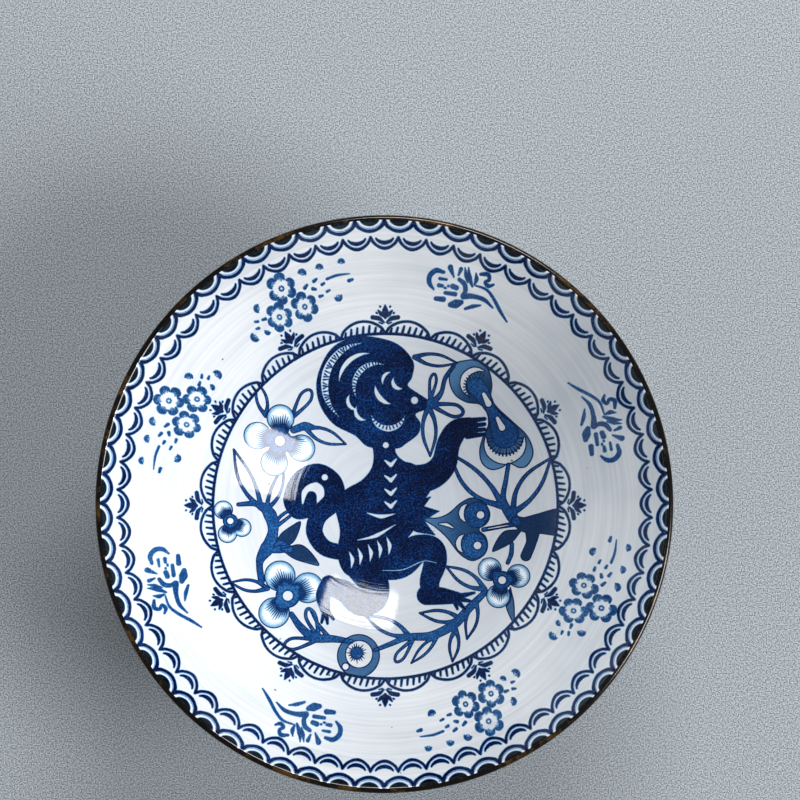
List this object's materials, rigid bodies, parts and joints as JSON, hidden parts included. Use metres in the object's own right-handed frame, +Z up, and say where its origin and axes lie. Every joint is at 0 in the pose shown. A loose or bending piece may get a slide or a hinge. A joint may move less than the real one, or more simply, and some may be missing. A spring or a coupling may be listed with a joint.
{
  "type": "footed tea bowl",
  "caption": "Flared handleless porcelain tea bowl on a turned foot ring, with a brown-dressed lip, a blue picture and lace border inside, and petal and star bands outside.",
  "frame": {"origin": "centre of the circle that the foot ring stands on", "axes": "+Z up along the bowl's axis; +Y is the top of the picture inside, so the figure faces +X"},
  "size_m": [0.092, 0.092, 0.039],
  "materials": {
    "porcelain": "fired white porcelain body under the glaze",
    "bisque": "bare, fine-grained, turned and matt",
    "iron_brown": "iron wash under gloss, breaking from near black to gold brown",
    "glaze": "clear gloss glaze with a faint blue-grey cast",
    "cobalt_dark": "dense mottled cobalt print in the glaze",
    "cobalt_mid": "mid-tone cobalt print in the glaze",
    "cobalt_line": "fine dark cobalt line in the glaze",
    "cobalt_pale": "thinner blue print with soft edges in the glaze",
    "cobalt_outside": "blue-black print line in the glaze"
  },
  "bodies": {
    "root": {"bowl_body": "porcelain", "foot_ring": "bisque", "rim_band": "iron_brown", "inner_glaze": "glaze", "outer_glaze": "glaze", "foot_well_glaze": "glaze", "medallion_print": "cobalt_dark", "lace_print": "cobalt_line", "palmette_prints": "cobalt_line", "blossom_prints": "cobalt_pale", "leaf_prints": "cobalt_pale", "rim_scale_print": "cobalt_line", "petal_print": "cobalt_outside", "star_print": "cobalt_outside", "banding_lines": "cobalt_outside"}
  },
  "joints": []
}
